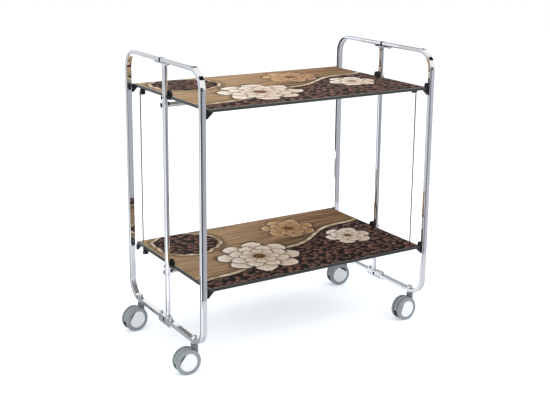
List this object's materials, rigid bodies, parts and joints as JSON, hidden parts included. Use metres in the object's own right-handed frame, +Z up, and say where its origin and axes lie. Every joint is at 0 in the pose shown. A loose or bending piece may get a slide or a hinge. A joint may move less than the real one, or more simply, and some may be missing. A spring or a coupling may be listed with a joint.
{
  "type": "folding serving trolley",
  "caption": "Folding serving trolley with two tilting rectangular trays linked by thin rods, chromed tubular end loops and swivelling twin-wheel casters.",
  "frame": {"origin": "on the floor, under the middle of the trolley's bounding box", "axes": "+X to the right along the trays' length, +Y to the rear, +Z up"},
  "size_m": [0.7063, 0.404, 0.72],
  "materials": {
    "chrome": "polished chrome on steel tube",
    "edge_trim": "glossy dark grey extruded edging",
    "printed_board": "laminate with a brown and cream printed pattern under a dull clear film",
    "black_plastic": "black moulded plastic",
    "grey_plastic": "grey moulded plastic",
    "grey_tyre": "soft grey tread",
    "white_cap": "white satin plastic",
    "steel": "bright steel"
  },
  "bodies": {
    "frame": {"half_frame_rear_left": "chrome", "half_frame_front_left": "chrome", "half_frame_rear_right": "chrome", "half_frame_front_right": "chrome", "end_plugs_left": "black_plastic", "end_plugs_right": "black_plastic", "post_left": "chrome", "post_right": "chrome", "top_bracket_left": "chrome", "top_bracket_right": "chrome", "bottom_bracket_left": "chrome", "bottom_bracket_right": "chrome", "lower_plate_left": "chrome", "lower_plate_right": "chrome", "hinge_pins": "chrome", "tilt_pins": "chrome", "cross_bar_upper": "chrome", "cross_bar_lower": "chrome", "cross_bar_screws": "chrome", "bar_saddles": "black_plastic", "caster_stems": "chrome", "caster_nuts": "chrome"},
    "upper_tray": {"upper_panel": "printed_board", "upper_edging": "edge_trim", "upper_pivot_blocks": "black_plastic", "upper_corner_clips": "black_plastic", "upper_rod_lugs": "black_plastic", "upper_rod_pins": "chrome"},
    "lower_tray": {"lower_panel": "printed_board", "lower_edging": "edge_trim", "lower_pivot_blocks": "black_plastic", "lower_corner_clips": "black_plastic", "lower_rod_lugs": "black_plastic", "lower_rod_pins": "chrome"},
    "rear_link": {"link_rod_left": "chrome"},
    "front_link": {"link_rod_right": "chrome"},
    "caster_front_left": {"housing_front_left": "grey_plastic", "axle_front_left": "steel"},
    "rolling_front_left_a": {"wheel_front_left_a": "grey_tyre", "cap_front_left_a": "white_cap"},
    "rolling_front_left_b": {"wheel_front_left_b": "grey_tyre", "cap_front_left_b": "white_cap"},
    "caster_rear_left": {"housing_rear_left": "grey_plastic", "axle_rear_left": "steel"},
    "rolling_rear_left_a": {"wheel_rear_left_a": "grey_tyre", "cap_rear_left_a": "white_cap"},
    "rolling_rear_left_b": {"wheel_rear_left_b": "grey_tyre", "cap_rear_left_b": "white_cap"},
    "caster_front_right": {"housing_front_right": "grey_plastic", "axle_front_right": "steel"},
    "rolling_front_right_a": {"wheel_front_right_a": "grey_tyre", "cap_front_right_a": "white_cap"},
    "rolling_front_right_b": {"wheel_front_right_b": "grey_tyre", "cap_front_right_b": "white_cap"},
    "caster_rear_right": {"housing_rear_right": "grey_plastic", "axle_rear_right": "steel"},
    "rolling_rear_right_a": {"wheel_rear_right_a": "grey_tyre", "cap_rear_right_a": "white_cap"},
    "rolling_rear_right_b": {"wheel_rear_right_b": "grey_tyre", "cap_rear_right_b": "white_cap"}
  },
  "joints": [
    {"name": "upper_tray_tilt", "type": "hinge", "parent": "frame", "child": "upper_tray", "pos_m": [0.01999, 0, 0.626], "axis": [1, 0, 0], "range_deg": [0, 80]},
    {"name": "lower_tray_tilt", "type": "hinge", "parent": "frame", "child": "lower_tray", "pos_m": [0.01999, 0, 0.2125], "axis": [1, 0, 0], "range_deg": [0, 80]},
    {"name": "rear_link_swing", "type": "hinge", "parent": "upper_tray", "child": "rear_link", "pos_m": [-0.29021, 0.151, 0.613], "axis": [1, 0, 0], "range_deg": [-80, 0]},
    {"name": "front_link_swing", "type": "hinge", "parent": "upper_tray", "child": "front_link", "pos_m": [0.33019, -0.153, 0.613], "axis": [1, 0, 0], "range_deg": [-80, 0]},
    {"name": "swivel_front_left", "type": "hinge", "parent": "frame", "child": "caster_front_left", "pos_m": [-0.30101, -0.1485, 0.06], "axis": [0, 0, 1], "continuous": true},
    {"name": "roll_front_left_a", "type": "hinge", "parent": "caster_front_left", "child": "rolling_front_left_a", "pos_m": [-0.32098, -0.14745, 0.031], "axis": [0.0523, 0.9986, 0], "continuous": true},
    {"name": "roll_front_left_b", "type": "hinge", "parent": "caster_front_left", "child": "rolling_front_left_b", "pos_m": [-0.32098, -0.14745, 0.031], "axis": [0.0523, 0.9986, 0], "continuous": true},
    {"name": "swivel_rear_left", "type": "hinge", "parent": "frame", "child": "caster_rear_left", "pos_m": [-0.30101, 0.1485, 0.06], "axis": [0, 0, 1], "continuous": true},
    {"name": "roll_rear_left_a", "type": "hinge", "parent": "caster_rear_left", "child": "rolling_rear_left_a", "pos_m": [-0.32082, 0.14572, 0.031], "axis": [-0.1392, 0.9903, 0], "continuous": true},
    {"name": "roll_rear_left_b", "type": "hinge", "parent": "caster_rear_left", "child": "rolling_rear_left_b", "pos_m": [-0.32082, 0.14572, 0.031], "axis": [-0.1392, 0.9903, 0], "continuous": true},
    {"name": "swivel_front_right", "type": "hinge", "parent": "frame", "child": "caster_front_right", "pos_m": [0.34099, -0.1485, 0.06], "axis": [0, 0, 1], "continuous": true},
    {"name": "roll_front_right_a", "type": "hinge", "parent": "caster_front_right", "child": "rolling_front_right_a", "pos_m": [0.32102, -0.14955, 0.031], "axis": [-0.0523, 0.9986, 0], "continuous": true},
    {"name": "roll_front_right_b", "type": "hinge", "parent": "caster_front_right", "child": "rolling_front_right_b", "pos_m": [0.32102, -0.14955, 0.031], "axis": [-0.0523, 0.9986, 0], "continuous": true},
    {"name": "swivel_rear_right", "type": "hinge", "parent": "frame", "child": "caster_rear_right", "pos_m": [0.34099, 0.1485, 0.06], "axis": [0, 0, 1], "continuous": true},
    {"name": "roll_rear_right_a", "type": "hinge", "parent": "caster_rear_right", "child": "rolling_rear_right_a", "pos_m": [0.3211, 0.15059, 0.031], "axis": [0.1045, 0.9945, 0], "continuous": true},
    {"name": "roll_rear_right_b", "type": "hinge", "parent": "caster_rear_right", "child": "rolling_rear_right_b", "pos_m": [0.3211, 0.15059, 0.031], "axis": [0.1045, 0.9945, 0], "continuous": true}
  ],
  "couplings": [
    {"joint": "lower_tray_tilt", "follows": "upper_tray_tilt", "ratio": 1},
    {"joint": "rear_link_swing", "follows": "upper_tray_tilt", "ratio": -1},
    {"joint": "front_link_swing", "follows": "upper_tray_tilt", "ratio": -1}
  ]
}
